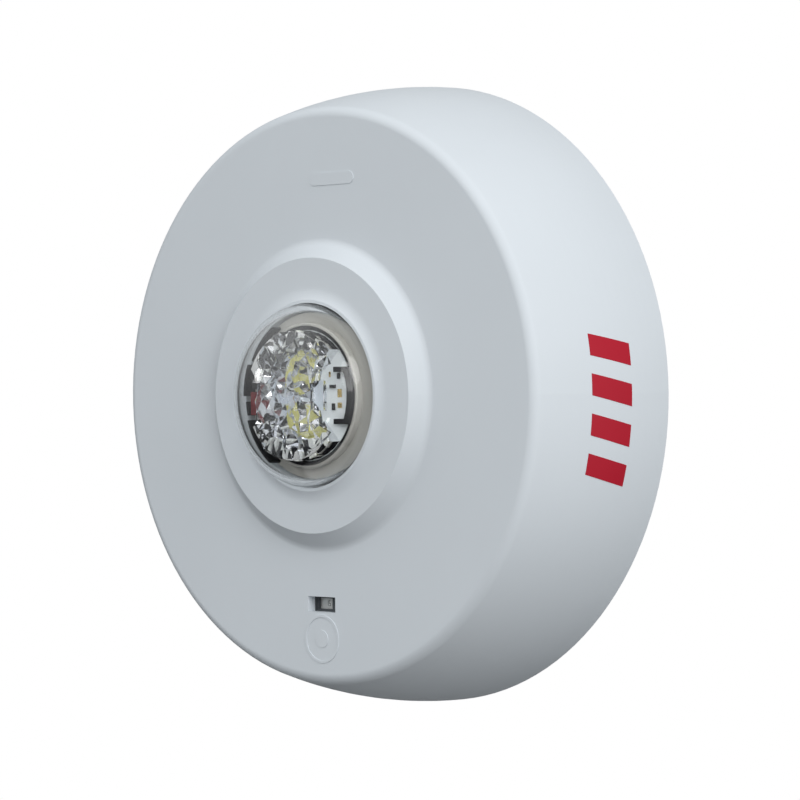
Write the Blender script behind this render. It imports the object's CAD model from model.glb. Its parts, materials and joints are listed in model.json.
"""Looks for the round wall-mounted horn strobe: finishes for every CAD part, and finer pieces for the
lens, the light engine, the side marking, the indicator card and the scales on the rear cover."""

import json
import math
import random

import bmesh
import bpy
from mathutils import Matrix, Vector, geometry


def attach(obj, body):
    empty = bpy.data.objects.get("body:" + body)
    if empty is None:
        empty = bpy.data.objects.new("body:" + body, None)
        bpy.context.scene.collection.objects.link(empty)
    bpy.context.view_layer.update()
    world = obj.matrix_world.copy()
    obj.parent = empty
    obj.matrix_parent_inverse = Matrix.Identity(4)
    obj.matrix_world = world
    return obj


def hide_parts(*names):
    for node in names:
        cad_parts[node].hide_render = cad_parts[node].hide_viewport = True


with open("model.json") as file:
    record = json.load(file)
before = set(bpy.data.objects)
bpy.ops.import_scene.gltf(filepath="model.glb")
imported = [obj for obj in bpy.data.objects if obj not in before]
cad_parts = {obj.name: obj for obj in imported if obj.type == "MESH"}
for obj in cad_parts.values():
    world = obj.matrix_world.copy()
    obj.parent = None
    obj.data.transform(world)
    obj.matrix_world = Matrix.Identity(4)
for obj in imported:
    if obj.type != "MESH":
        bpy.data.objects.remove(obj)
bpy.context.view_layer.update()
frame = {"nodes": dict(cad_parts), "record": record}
nodes = frame["nodes"]
MM = 0.001

# Sizes of the CAD parts that the finer pieces fit onto, in millimetres from the axis or the wall
HOUSING_R = 86.4
CROWN_R = 129.0
LENS_BASE_Z = 49.3
BOARD_Z = 50.0
SHELF_Z = 48.3
EMITTER_Y = 6.6
WINDOW_Y = -57.0
CARD_TOP_Z = 40.7
COVER_Z = 12.0
SLIDER_STOPS = 5
SLIDER_PITCH = 4.0


# ---- Material helpers ----

def new_material(name):
    mat = bpy.data.materials.new(name)
    mat.use_nodes = True
    tree = mat.node_tree
    return mat, tree, tree.nodes["Principled BSDF"]


def noise(tree, scale, detail=2.0, rough=0.5):
    """Noise in the object's own metres."""
    coords = tree.nodes.new("ShaderNodeTexCoord")
    tex = tree.nodes.new("ShaderNodeTexNoise")
    tex.inputs["Scale"].default_value = scale
    tex.inputs["Detail"].default_value = detail
    tex.inputs["Roughness"].default_value = rough
    tree.links.new(coords.outputs["Object"], tex.inputs["Vector"])
    return tex


def ramp(tree, source, low, high):
    """Maps a 0 to 1 value onto a range."""
    node = tree.nodes.new("ShaderNodeMapRange")
    node.inputs["From Min"].default_value = 0.3
    node.inputs["From Max"].default_value = 0.7
    node.inputs["To Min"].default_value = low
    node.inputs["To Max"].default_value = high
    tree.links.new(source, node.inputs["Value"])
    return node.outputs["Result"]


def colour_ramp(tree, source, dark, light):
    node = tree.nodes.new("ShaderNodeValToRGB")
    node.color_ramp.elements[0].position = 0.3
    node.color_ramp.elements[1].position = 0.7
    node.color_ramp.elements[0].color = (*dark, 1)
    node.color_ramp.elements[1].color = (*light, 1)
    tree.links.new(source, node.inputs["Fac"])
    return node.outputs["Color"]


def bump(tree, bsdf, heights, distance, strength=1.0):
    node = tree.nodes.new("ShaderNodeBump")
    node.inputs["Distance"].default_value = distance
    node.inputs["Strength"].default_value = strength
    tree.links.new(heights, node.inputs["Height"])
    tree.links.new(node.outputs["Normal"], bsdf.inputs["Normal"])


def moulded(name, colour, spread=0.03, rough=(0.42, 0.55), grain=2600, depth=0.00003, shine=0.5):
    """Moulded plastic: a fine texture, a slow drift of colour and uneven gloss."""
    mat, tree, bsdf = new_material(name)
    drift = noise(tree, 28, 3)
    dark = tuple(c * (1 - spread) for c in colour)
    tree.links.new(colour_ramp(tree, drift.outputs["Fac"], dark, colour), bsdf.inputs["Base Color"])
    gloss = noise(tree, 180, 4)
    tree.links.new(ramp(tree, gloss.outputs["Fac"], *rough), bsdf.inputs["Roughness"])
    fine = noise(tree, grain, 3, 0.6)
    bump(tree, bsdf, fine.outputs["Fac"], depth, 0.5)
    bsdf.inputs["Specular IOR Level"].default_value = shine
    return mat


def metal(name, colour, rough=(0.2, 0.35), streak=(1, 1, 1), grain=900):
    """Bare metal with fine brushed or rolled marks."""
    mat, tree, bsdf = new_material(name)
    bsdf.inputs["Metallic"].default_value = 1.0
    coords = tree.nodes.new("ShaderNodeTexCoord")
    mapping = tree.nodes.new("ShaderNodeMapping")
    mapping.inputs["Scale"].default_value = streak
    tex = tree.nodes.new("ShaderNodeTexNoise")
    tex.inputs["Scale"].default_value = grain
    tree.links.new(coords.outputs["Object"], mapping.inputs["Vector"])
    tree.links.new(mapping.outputs["Vector"], tex.inputs["Vector"])
    dark = tuple(c * 0.86 for c in colour)
    tree.links.new(colour_ramp(tree, tex.outputs["Fac"], dark, colour), bsdf.inputs["Base Color"])
    tree.links.new(ramp(tree, tex.outputs["Fac"], *rough), bsdf.inputs["Roughness"])
    bump(tree, bsdf, tex.outputs["Fac"], 0.00001, 0.4)
    return mat


def clear(name, colour, ior, rough=0.02):
    """Clear moulded plastic that lets lamps through to what is behind it."""
    mat, tree, bsdf = new_material(name)
    bsdf.inputs["Base Color"].default_value = (*colour, 1)
    bsdf.inputs["Transmission Weight"].default_value = 1.0
    bsdf.inputs["IOR"].default_value = ior
    bsdf.inputs["Roughness"].default_value = rough
    flow = noise(tree, 120, 2)
    bump(tree, bsdf, flow.outputs["Fac"], 0.00002, 0.3)
    path = tree.nodes.new("ShaderNodeLightPath")
    through = tree.nodes.new("ShaderNodeBsdfTransparent")
    through.inputs["Color"].default_value = (0.93, 0.94, 0.95, 1)
    mix = tree.nodes.new("ShaderNodeMixShader")
    out = tree.nodes["Material Output"]
    tree.links.new(path.outputs["Is Shadow Ray"], mix.inputs["Fac"])
    tree.links.new(bsdf.outputs["BSDF"], mix.inputs[1])
    tree.links.new(through.outputs["BSDF"], mix.inputs[2])
    tree.links.new(mix.outputs["Shader"], out.inputs["Surface"])
    return mat


MATERIALS = {
    "housing_plastic": moulded("housing_plastic", (0.70, 0.745, 0.785), 0.02, (0.46, 0.56), 2400, 0.00002),
    "cover_plastic": moulded("cover_plastic", (0.66, 0.69, 0.71), 0.04),
    "plate_plastic": moulded("plate_plastic", (0.72, 0.73, 0.71), 0.04),
    "black_plastic": moulded("black_plastic", (0.012, 0.012, 0.014), 0.3, (0.55, 0.7), shine=0.15),
    "carrier_plastic": moulded("carrier_plastic", (0.40, 0.39, 0.36), 0.1, (0.35, 0.5)),
    "clear_lens": clear("clear_lens", (0.97, 0.975, 0.97), 1.49),
    "clear_optic": clear("clear_optic", (0.955, 0.965, 1.0), 1.49, 0.0),
    "seal_rubber": moulded("seal_rubber", (0.03, 0.03, 0.032), 0.2, (0.7, 0.85)),
    "light_board_white": moulded("light_board_white", (0.80, 0.84, 0.85), 0.05, (0.25, 0.4)),
    "emitter_white": moulded("emitter_white", (0.82, 0.82, 0.76), 0.05, (0.3, 0.45)),
    "phosphor": moulded("phosphor", (0.88, 0.82, 0.24), 0.15, (0.2, 0.35), 1500, 0.00003),
    "reflector_silver": metal("reflector_silver", (0.90, 0.91, 0.93), (0.04, 0.12)),
    "status_red": moulded("status_red", (0.15, 0.003, 0.008), 0.2, (0.35, 0.5), shine=0.2),
    "board_green": moulded("board_green", (0.02, 0.13, 0.06), 0.3, (0.25, 0.4), 900),
    "capacitor_sleeve": moulded("capacitor_sleeve", (0.03, 0.035, 0.08), 0.2, (0.2, 0.35)),
    "copper_winding": metal("copper_winding", (0.62, 0.28, 0.10), (0.25, 0.4), (1, 14, 1), 1200),
    "ribbon_amber": moulded("ribbon_amber", (0.50, 0.27, 0.04), 0.2, (0.15, 0.3)),
    "contact_brass": metal("contact_brass", (0.76, 0.58, 0.26), (0.22, 0.36)),
    "screw_steel": metal("screw_steel", (0.58, 0.58, 0.57), (0.25, 0.4)),
    "card_white": moulded("card_white", (0.93, 0.94, 0.92), 0.04, (0.55, 0.7)),
    "selector_orange": moulded("selector_orange", (0.60, 0.17, 0.03), 0.1, (0.35, 0.5)),
    "bezel_grey": moulded("bezel_grey", (0.10, 0.11, 0.12), 0.1, (0.5, 0.65), shine=0.3),
    "print_red": moulded("print_red", (0.47, 0.008, 0.026), 0.1, (0.35, 0.48)),
    "print_black": moulded("print_black", (0.02, 0.02, 0.02), 0.1, (0.5, 0.6)),
}
SLOT_OF = {s["node"]: s["material_slot"] for s in frame["record"]["subparts"]}
FINISH_OF = {"window_bezel": "bezel_grey"}
for name, node in nodes.items():
    node.data.materials.clear()
    node.data.materials.append(MATERIALS[FINISH_OF.get(name, SLOT_OF[name])])


# ---- Mesh helpers ----

def piece(name, bm, material, body, smooth=math.radians(35)):
    """Turns a bmesh into a piece that rides on a body."""
    bmesh.ops.recalc_face_normals(bm, faces=bm.faces)
    mesh = bpy.data.meshes.new(name)
    bm.to_mesh(mesh)
    bm.free()
    obj = bpy.data.objects.new(name, mesh)
    bpy.context.scene.collection.objects.link(obj)
    mesh.materials.append(MATERIALS[material])
    mesh.shade_smooth()
    mesh.set_sharp_from_angle(angle=smooth)
    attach(obj, body)
    return obj


def upright(x, y, z):
    """A point given as right, up and out from the wall, in millimetres, in the frame's metres."""
    return Vector((x, -z, y)) * MM


# ---- Side marking ----

def wall_radius(z):
    """Radius of the housing's side wall at a distance z from the wall."""
    return HOUSING_R - CROWN_R + math.sqrt(CROWN_R * CROWN_R - z * z)


def side_marking():
    """Four plain slanted bars printed on the side wall, in place of any wording."""
    bm = bmesh.new()
    thickness, bars, pitch, width, slant = 0.08, 4, 10.6, 5.8, 3.0
    low, high, top, mid_z = 15.2, 28.4, 14.4, 19
    across, along, sink = 10, 8, 0.01
    for bar in range(bars):
        start = top - bar * pitch
        layers = []
        for lift in (sink, thickness):
            grid = []
            for i in range(across + 1):
                z = low + (high - low) * i / across
                radius = wall_radius(z) + lift
                shift = slant * (i / across - 0.5)
                row = []
                for j in range(along + 1):
                    height = start - width * j / along + shift
                    angle = height / wall_radius(mid_z)
                    row.append(bm.verts.new(upright(radius * math.cos(angle), radius * math.sin(angle), z)))
                grid.append(row)
            layers.append(grid)
        for grid in layers:
            for i in range(across):
                for j in range(along):
                    bm.faces.new((grid[i][j], grid[i + 1][j], grid[i + 1][j + 1], grid[i][j + 1]))
        inner, outer = layers
        edge = ([(0, j) for j in range(along)] + [(i, along) for i in range(across)]
                + [(across, j) for j in range(along, 0, -1)] + [(i, 0) for i in range(across, 0, -1)])
        for k, (i, j) in enumerate(edge):
            m, n = edge[(k + 1) % len(edge)]
            bm.faces.new((inner[i][j], inner[m][n], outer[m][n], outer[i][j]))
    piece("side_marking", bm, "print_red", "head")


side_marking()


# ---- Lens and light engine ----

def local(x, y, z):
    """The same point as upright(), as a plain tuple."""
    return tuple(upright(x, y, z))


def box_mesh(bm, x, y, z):
    """A box between two corners, in upright millimetres."""
    corners = [bm.verts.new(local(i, j, k)) for i in x for j in y for k in z]
    for face in ((0, 1, 3, 2), (4, 6, 7, 5), (0, 4, 5, 1), (2, 3, 7, 6), (0, 2, 6, 4), (1, 5, 7, 3)):
        bm.faces.new([corners[i] for i in face])


def loft(bm, rings):
    """Joins rings of points into a skin and closes both ends with a flat face."""
    rows = [[bm.verts.new(p) for p in ring] for ring in rings]
    count = len(rows[0])
    for a, b in zip(rows, rows[1:]):
        for i in range(count):
            j = (i + 1) % count
            bm.faces.new((a[i], a[j], b[j], b[i]))
    bm.faces.new(rows[0])
    bm.faces.new(list(reversed(rows[-1])))


def dome_radius(share, radius, power=2.2):
    """Radius and height shares of the squarish lens dome at a share of a quarter turn."""
    angle = share * math.pi / 2
    return radius * math.cos(angle) ** (2 / power), math.sin(angle) ** (2 / power)


def revolve(bm, profile, segments):
    """Turns a closed profile of radius and height round the axis."""
    rows = []
    for i in range(segments):
        angle = 2 * math.pi * i / segments
        row = []
        for radius, height in profile:
            if radius < 1e-6:
                row.append(None)
            else:
                row.append(bm.verts.new(local(radius * math.cos(angle), radius * math.sin(angle), height)))
        rows.append(row)
    poles = {k: bm.verts.new(local(0, 0, height)) for k, (radius, height) in enumerate(profile) if radius < 1e-6}
    for i in range(segments):
        a, b = rows[i], rows[(i + 1) % segments]
        for k in range(len(profile)):
            m = (k + 1) % len(profile)
            corners = []
            for vert in (a[k] or poles[k], b[k] or poles[k], b[m] or poles[m], a[m] or poles[m]):
                if vert not in corners:
                    corners.append(vert)
            if len(corners) > 2:
                bm.faces.new(corners)


def fine_dome():
    """The clear lens, with a finer surface so that it refracts cleanly."""
    steps, segments = 40, 160
    outer_r, inner_r, outer_h, inner_h = 25.0, 23.2, 14.2, 12.4
    flange_r, flange_low, flange_high = 29.0, 44.3, 45.9
    profile = [(inner_r, flange_low), (flange_r, flange_low), (flange_r, flange_high), (outer_r, flange_high)]
    for i in range(steps + 1):
        radius, height = dome_radius(i / steps, outer_r)
        profile.append((radius if i < steps else 0.0, LENS_BASE_Z + outer_h * height))
    for i in range(steps, -1, -1):
        radius, height = dome_radius(i / steps, inner_r)
        profile.append((radius if i < steps else 0.0, LENS_BASE_Z + inner_h * height))
    bm = bmesh.new()
    revolve(bm, profile, segments)
    obj = piece("fine_dome", bm, "clear_lens", "head")
    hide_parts("lens_dome")


def cut_optics():
    """The two clear optics over the emitters, cut in flat facets, on one clear base."""
    rng = random.Random(11)
    bm = bmesh.new()
    radius, columns, flatness, centre_z = 6.1, 11, 0.68, BOARD_Z + 1.4
    foot = radius * 1.01
    for side in (-1, 1):
        rings = [[local(foot * math.cos(2 * math.pi * i / columns),
                        side * EMITTER_Y + foot * math.sin(2 * math.pi * i / columns),
                        BOARD_Z + 0.1) for i in range(columns)]]
        for row, lift in enumerate((4, 24, 44, 63, 80)):
            ring = []
            for i in range(columns):
                angle = 2 * math.pi * (i + 0.5 * (row % 2)) / columns
                reach = radius * (1 + rng.uniform(-0.09, 0.03))
                flat = reach * math.cos(math.radians(lift))
                ring.append(local(flat * math.cos(angle), side * EMITTER_Y + flat * math.sin(angle),
                                  centre_z + flatness * reach * math.sin(math.radians(lift))))
            rings.append(ring)
        loft(bm, rings)
    for link in ((-7.6, -3.8), (3.8, 7.6)):
        box_mesh(bm, link, (-4, 4), (BOARD_Z + 0.05, BOARD_Z + 1.2))
    obj = piece("cut_optics", bm, "clear_optic", "head", smooth=math.radians(3))
    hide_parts("emitter_optics")


def optic_edge(angle, margin):
    """How far out the emitter optics reach in a direction, or a little way if they don't."""
    across, reach, least = EMITTER_Y * math.cos(angle), 6.3, 9.4
    if abs(across) >= reach:
        return least + margin
    return max(EMITTER_Y * abs(math.sin(angle)) + math.sqrt(reach * reach - across * across), least) + margin


def faceted_reflector():
    """The two bright segments, pressed in flat facets."""
    rng = random.Random(5)
    bm = bmesh.new()
    outer, rise, bands, facet_degrees = 17.5, 3.2, 3, 9
    for start, end in ((44, 168), (204, 316)):
        steps = int((end - start) / facet_degrees)
        top, low = [], []
        for i in range(steps + 1):
            angle = math.radians(start + (end - start) * i / steps)
            inner = optic_edge(angle, 0.3)
            row = []
            for j in range(bands + 1):
                share = j / bands
                radius = inner + (outer - inner) * share
                height = BOARD_Z + 0.5 + rise * share ** 1.4
                turn = angle
                if 0 < i < steps:
                    turn += rng.uniform(-0.05, 0.05)
                if 0 < j < bands:
                    radius += rng.uniform(-0.5, 0.5)
                    height += rng.uniform(-0.9, 1.3)
                row.append(bm.verts.new(local(radius * math.cos(turn), radius * math.sin(turn), height)))
            top.append(row)
            low.append([bm.verts.new(local(r * math.cos(angle), r * math.sin(angle), BOARD_Z + 0.02))
                        for r in (inner, outer)])
        for i in range(steps):
            for j in range(bands):
                a, b, c, d = top[i][j], top[i + 1][j], top[i + 1][j + 1], top[i][j + 1]
                if rng.random() < 0.5:
                    bm.faces.new((a, b, c))
                    bm.faces.new((a, c, d))
                else:
                    bm.faces.new((a, b, d))
                    bm.faces.new((b, c, d))
            bm.faces.new((low[i][0], low[i + 1][0], low[i + 1][1], low[i][1]))
            bm.faces.new((top[i][0], top[i + 1][0], low[i + 1][0], low[i][0]))
            bm.faces.new((top[i][bands], top[i + 1][bands], low[i + 1][1], low[i][1]))
        for i in (0, steps):
            bm.faces.new([*top[i], low[i][1], low[i][0]])
    obj = piece("faceted_reflector", bm, "reflector_silver", "head", smooth=math.radians(3))
    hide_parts("reflector")


def prism_cover():
    """A clear cover cut in random prisms, left open over the status light and over the right of the board."""
    rng = random.Random(23)
    outer, step, low, high, dip, jitter = 17.2, 2.1, 55.5, 58.3, 1.6, 0.28
    cut_x, cut_y = 8.2, 5.6
    points = []
    rows = int(outer / step) + 1
    for i in range(-rows, rows + 1):
        for j in range(-rows, rows + 1):
            x = (i + 0.5 * (j % 2)) * step + rng.uniform(-jitter, jitter) * step
            y = j * step * 0.88 + rng.uniform(-jitter, jitter) * step
            over_status_light = x < -13.4 and -6.6 < y < 7.2
            over_board = x > cut_x and abs(y) < cut_y
            if math.hypot(x, y) < outer - 1.2 and not over_status_light and not over_board:
                points.append(Vector((x, y)))
    for degrees in range(29, 335, 9):
        if 156 < degrees < 202:
            continue
        angle = math.radians(degrees)
        points.append(Vector((outer * math.cos(angle), outer * math.sin(angle))))
    verts, _, faces, _, _, _ = geometry.delaunay_2d_cdt(points, [], [], 0, 0.001)
    faces = [f for f in faces
             if max((verts[f[i]] - verts[f[(i + 1) % 3]]).length for i in range(3)) < 2.4 * step]
    bm = bmesh.new()
    top, bottom = [], []
    for p in verts:
        share = p.length / outer
        height = high - dip * share * share + rng.uniform(-1.9, 0.0)
        top.append(bm.verts.new(local(p.x, p.y, height)))
        bottom.append(bm.verts.new(local(p.x, p.y, low)))
    edges = {}
    for a, b, c in faces:
        bm.faces.new((top[a], top[b], top[c]))
        bm.faces.new((bottom[c], bottom[b], bottom[a]))
        for edge in ((a, b), (b, c), (c, a)):
            edges[edge] = edges.get(edge, 0) + 1
    for a, b in edges:
        if (b, a) not in edges:
            bm.faces.new((top[a], top[b], bottom[b], bottom[a]))
    loose = [v for v in bm.verts if not v.link_faces]
    bmesh.ops.delete(bm, geom=loose, context="VERTS")
    piece("prism_cover", bm, "clear_optic", "head", smooth=math.radians(3))


def ribs(name, material, seed, bearings, low_top, high_top):
    """Radial ribs that stand up between the facets of the reflector."""
    rng = random.Random(seed)
    far = 17.4
    bm = bmesh.new()
    for degrees in bearings:
        angle = math.radians(degrees)
        near, half = 12.4 + rng.uniform(-1.6, 2.0), rng.uniform(0.5, 1.1)
        near = max(near, optic_edge(angle, 0.4))
        top = BOARD_Z + rng.uniform(low_top, high_top)
        along, across = (math.cos(angle), math.sin(angle)), (-math.sin(angle), math.cos(angle))
        rings = []
        for radius in (near, far):
            rings.append([local(radius * along[0] + side * half * across[0],
                                radius * along[1] + side * half * across[1], z)
                          for side, z in ((-1, BOARD_Z), (1, BOARD_Z), (1, top), (-1, top))])
        loft(bm, rings)
    piece(name, bm, material, "head", smooth=math.radians(20))


def arc_wall(bm, start, end, inner, outer, low, high):
    """A wall that stands on an arc, between two bearings in degrees."""
    steps = max(2, int(abs(end - start) / 4))
    rings = []
    for i in range(steps + 1):
        angle = math.radians(start + (end - start) * i / steps)
        rings.append([local(r * math.cos(angle), r * math.sin(angle), z)
                      for r, z in ((inner, low), (outer, low), (outer, high), (inner, high))])
    loft(bm, rings)


def carrier_trim():
    """A pale collar round the shroud ring, and dark walls and a stop on its left."""
    bm = bmesh.new()
    inner, outer, high, chamfer, segments = 18.85, 19.6, 50.7, 0.3, 96
    revolve(bm, [(inner, SHELF_Z), (outer, SHELF_Z), (outer, high - chamfer), (outer - chamfer, high), (inner, high)],
            segments)
    piece("carrier_collar", bm, "carrier_plastic", "head")
    bm = bmesh.new()
    inner, outer = 21.5, 22.3
    for start, end, high in ((122, 154, 51.6), (157, 180, 52.8), (184, 194, 51.9), (198, 236, 52.4)):
        arc_wall(bm, start, end, inner, outer, SHELF_Z + 0.05, high)
    box_mesh(bm, (-17.6, -15.4), (1.8, 5.6), (BOARD_Z - 0.05, 53.4))
    piece("carrier_latches", bm, "black_plastic", "head")


def board_parts():
    """Small parts and pads on the light board."""
    bm = bmesh.new()
    for x, y, w, h, t in ((10.2, 2.4, 2.0, 0.9, 0.5), (10.4, -3.0, 1.0, 1.8, 0.4), (12.4, 5.2, 0.9, 1.6, 0.4),
                          (-9.5, 3.6, 1.6, 0.8, 0.5), (-9.2, -5.0, 0.8, 1.6, 0.4), (-12.8, 0.6, 1.0, 1.8, 0.5)):
        box_mesh(bm, (x - w / 2, x + w / 2), (y - h / 2, y + h / 2), (BOARD_Z - 0.05, BOARD_Z + t))
    piece("board_parts", bm, "print_black", "head")
    bm = bmesh.new()
    for x, y, w, h in ((12.6, 0.6, 1.6, 2.2), (12.6, -2.6, 1.6, 1.4), (-9.6, -1.4, 1.5, 1.0), (8.9, 5.6, 0.7, 1.4),
                       (-11.8, 3.4, 1.2, 1.2)):
        box_mesh(bm, (x - w / 2, x + w / 2), (y - h / 2, y + h / 2), (BOARD_Z - 0.05, BOARD_Z + 0.06))
    piece("board_pads", bm, "contact_brass", "head")


fine_dome()
cut_optics()
faceted_reflector()
prism_cover()
ribs("dark_ribs", "black_plastic", 40,
     (56, 74, 96, 112, 131, 149, 163, 209, 226, 244, 259, 281, 300), 3.2, 4.9)
ribs("white_ribs", "emitter_white", 41,
     (64, 86, 104, 122, 141, 157, 217, 235, 252, 270, 291, 309), 2.6, 4.6)
carrier_trim()
board_parts()


# ---- Indicator card ----

STROKES = {
    "0": "abcdef", "1": "bc", "3": "abgcd", "5": "afgcd", "7": "abc", "9": "gbafcd",
}
STROKE_BOXES = {
    "a": (0, 1, 1.85, 2), "b": (0.82, 1, 1, 2), "c": (0.82, 1, 0, 1), "d": (0, 1, 0, 0.15),
    "e": (0, 0.18, 0, 1), "f": (0, 0.18, 1, 2), "g": (0, 1, 0.92, 1.08),
}


def card_numbers():
    """Five settings printed on the card, one under the window at each stop of the slider."""
    digit_w, digit_h, gap, first_x = 0.62, 0.75, 0.24, -1.9
    bm = bmesh.new()
    for i, number in enumerate(("15", "30", "75", "95", "110")):
        width = len(number) * digit_w + (len(number) - 1) * gap
        left = first_x - i * SLIDER_PITCH - width / 2
        for digit in number:
            for stroke in STROKES[digit]:
                x0, x1, y0, y1 = STROKE_BOXES[stroke]
                box_mesh(bm, (left + x0 * digit_w, left + x1 * digit_w),
                         (WINDOW_Y + (y0 - 1) * digit_h, WINDOW_Y + (y1 - 1) * digit_h),
                         (CARD_TOP_Z - 0.05, CARD_TOP_Z + 0.03))
            left += digit_w + gap
    piece("card_numbers", bm, "print_black", "candela_setting")


card_numbers()


# ---- Rear cover ----

def rear_marks():
    """Tick marks printed on the rear cover: one for each stop of the slider, and a scale round the selector."""
    low, high = COVER_Z - 0.04, COVER_Z + 0.02
    bm = bmesh.new()
    for i in range(SLIDER_STOPS):
        x = (i - (SLIDER_STOPS - 1) / 2) * SLIDER_PITCH
        box_mesh(bm, (x - 0.2, x + 0.2), (WINDOW_Y + 3.6, WINDOW_Y + 5.2 + 0.4 * i), (low, high))
    selector_x, selector_y, ticks, sweep = 28.0, -52.0, 11, 300
    for i in range(ticks):
        angle = math.radians(sweep * i / (ticks - 1))
        near, far, half = 5.2, 6.6 if i % 5 == 0 else 6.0, 0.15
        corners = []
        for z in (low, high):
            for r, side in ((near, -half), (near, half), (far, half), (far, -half)):
                corners.append(bm.verts.new(local(selector_x + r * math.cos(angle) - side * math.sin(angle),
                                                  selector_y + r * math.sin(angle) + side * math.cos(angle), z)))
        for face in ((0, 1, 2, 3), (7, 6, 5, 4), (0, 4, 5, 1), (1, 5, 6, 2), (2, 6, 7, 3), (3, 7, 4, 0)):
            bm.faces.new([corners[k] for k in face])
    piece("rear_marks", bm, "print_black", "head")


rear_marks()


# ---- Stage ----

def soft_light(name, place, target, size, power, mirrored):
    data = bpy.data.lights.new(name, "AREA")
    data.shape = "ELLIPSE"
    data.size, data.size_y = size
    data.energy = power
    obj = bpy.data.objects.new(name, data)
    bpy.context.scene.collection.objects.link(obj)
    obj.location = place
    obj.rotation_euler = (Vector(target) - Vector(place)).to_track_quat("-Z", "Y").to_euler()
    obj.visible_glossy = mirrored


def world_light():
    """White behind everything; as a light it is a few broad soft lobes."""
    lobes = (((0.62, -0.69, 0.36), 0.30), ((-0.10, -0.40, 0.90), 0.20), ((0.98, -0.10, 0.05), 0.92),
             ((-0.50, -0.60, 0.60), 1.36), ((-0.40, 0.80, 0.45), 0.65))
    spread = 4
    world = bpy.data.worlds.new("studio")
    bpy.context.scene.world = world
    world.use_nodes = True
    tree = world.node_tree
    tree.nodes.clear()
    out = tree.nodes.new("ShaderNodeOutputWorld")
    mix = tree.nodes.new("ShaderNodeMixShader")
    seen = tree.nodes.new("ShaderNodeBackground")
    glow = tree.nodes.new("ShaderNodeBackground")
    path = tree.nodes.new("ShaderNodeLightPath")
    coords = tree.nodes.new("ShaderNodeTexCoord")

    def math_node(operation, first, second):
        node = tree.nodes.new("ShaderNodeMath")
        node.operation = operation
        for socket, value in zip(node.inputs, (first, second)):
            if isinstance(value, (int, float)):
                socket.default_value = value
            else:
                tree.links.new(value, socket)
        return node.outputs["Value"]

    total = 0.0
    for direction, strength in lobes:
        dot = tree.nodes.new("ShaderNodeVectorMath")
        dot.operation = "DOT_PRODUCT"
        dot.inputs[1].default_value = Vector(direction).normalized()
        tree.links.new(coords.outputs["Generated"], dot.inputs[0])
        lobe = math_node("POWER", math_node("MAXIMUM", dot.outputs["Value"], 0.0), spread)
        total = math_node("ADD", math_node("MULTIPLY", lobe, strength), total)
    seen.inputs["Color"].default_value = (1, 1, 1, 1)
    glow.inputs["Color"].default_value = (0.96, 0.985, 1.0, 1)
    tree.links.new(total, glow.inputs["Strength"])
    tree.links.new(path.outputs["Is Camera Ray"], mix.inputs["Fac"])
    tree.links.new(glow.outputs["Background"], mix.inputs[1])
    tree.links.new(seen.outputs["Background"], mix.inputs[2])
    tree.links.new(mix.outputs["Shader"], out.inputs["Surface"])


def floor():
    bm = bmesh.new()
    bmesh.ops.create_grid(bm, x_segments=1, y_segments=1, size=0.9)
    mesh = bpy.data.meshes.new("floor")
    bm.to_mesh(mesh)
    bm.free()
    obj = bpy.data.objects.new("floor", mesh)
    bpy.context.scene.collection.objects.link(obj)
    obj.location = (0, 0, -1.6)
    mat, _, bsdf = new_material("floor_paint")
    bsdf.inputs["Base Color"].default_value = (0.75, 0.75, 0.75, 1)
    bsdf.inputs["Roughness"].default_value = 0.8
    mesh.materials.append(mat)


def camera():
    """At the same height as the object and 44 degrees round to its right, with a long lens."""
    azimuth, elevation, roll = math.radians(44.08), math.radians(0.29), math.radians(-0.57)
    distance, sideways, upwards, depth = 0.870, 0.00781, -0.00145, -0.025
    focal_length, sensor_width = 141.2, 36
    back = Vector((math.sin(azimuth) * math.cos(elevation), -math.cos(azimuth) * math.cos(elevation),
                   math.sin(elevation)))
    right = Vector((math.cos(azimuth), math.sin(azimuth), 0))
    up = back.cross(right)
    right, up = (right * math.cos(roll) + up * math.sin(roll), up * math.cos(roll) - right * math.sin(roll))
    target = Vector((0, depth, 0)) + right * sideways + up * upwards
    data = bpy.data.cameras.new("camera")
    data.sensor_width = sensor_width
    data.lens = focal_length
    data.clip_start, data.clip_end = 0.05, 50
    obj = bpy.data.objects.new("camera", data)
    bpy.context.scene.collection.objects.link(obj)
    obj.location = target + back * distance
    turn = Matrix((right, up, back)).transposed().to_quaternion()
    obj.rotation_mode = "QUATERNION"
    obj.rotation_quaternion = turn
    bpy.context.scene.camera = obj


bpy.context.scene.view_settings.view_transform = "Standard"
world_light()
floor()
soft_light("key", (1.12, -0.78, 0.52), (0, -0.03, 0), (0.9, 0.9), 7.0, False)
soft_light("top_key", (1.30, -0.25, 0.75), (0, -0.03, 0), (0.9, 0.9), 6.3, False)
soft_light("sparkle_high", (-0.35, -1.30, 1.00), (0, -0.05, 0), (0.16, 0.16), 0.5, True)
soft_light("sparkle_low", (0.30, -1.45, -0.55), (0, -0.05, 0), (0.12, 0.12), 0.2, True)
soft_light("sparkle_left", (-1.30, -0.80, 0.20), (0, -0.05, 0), (0.16, 0.16), 0.4, True)
camera()
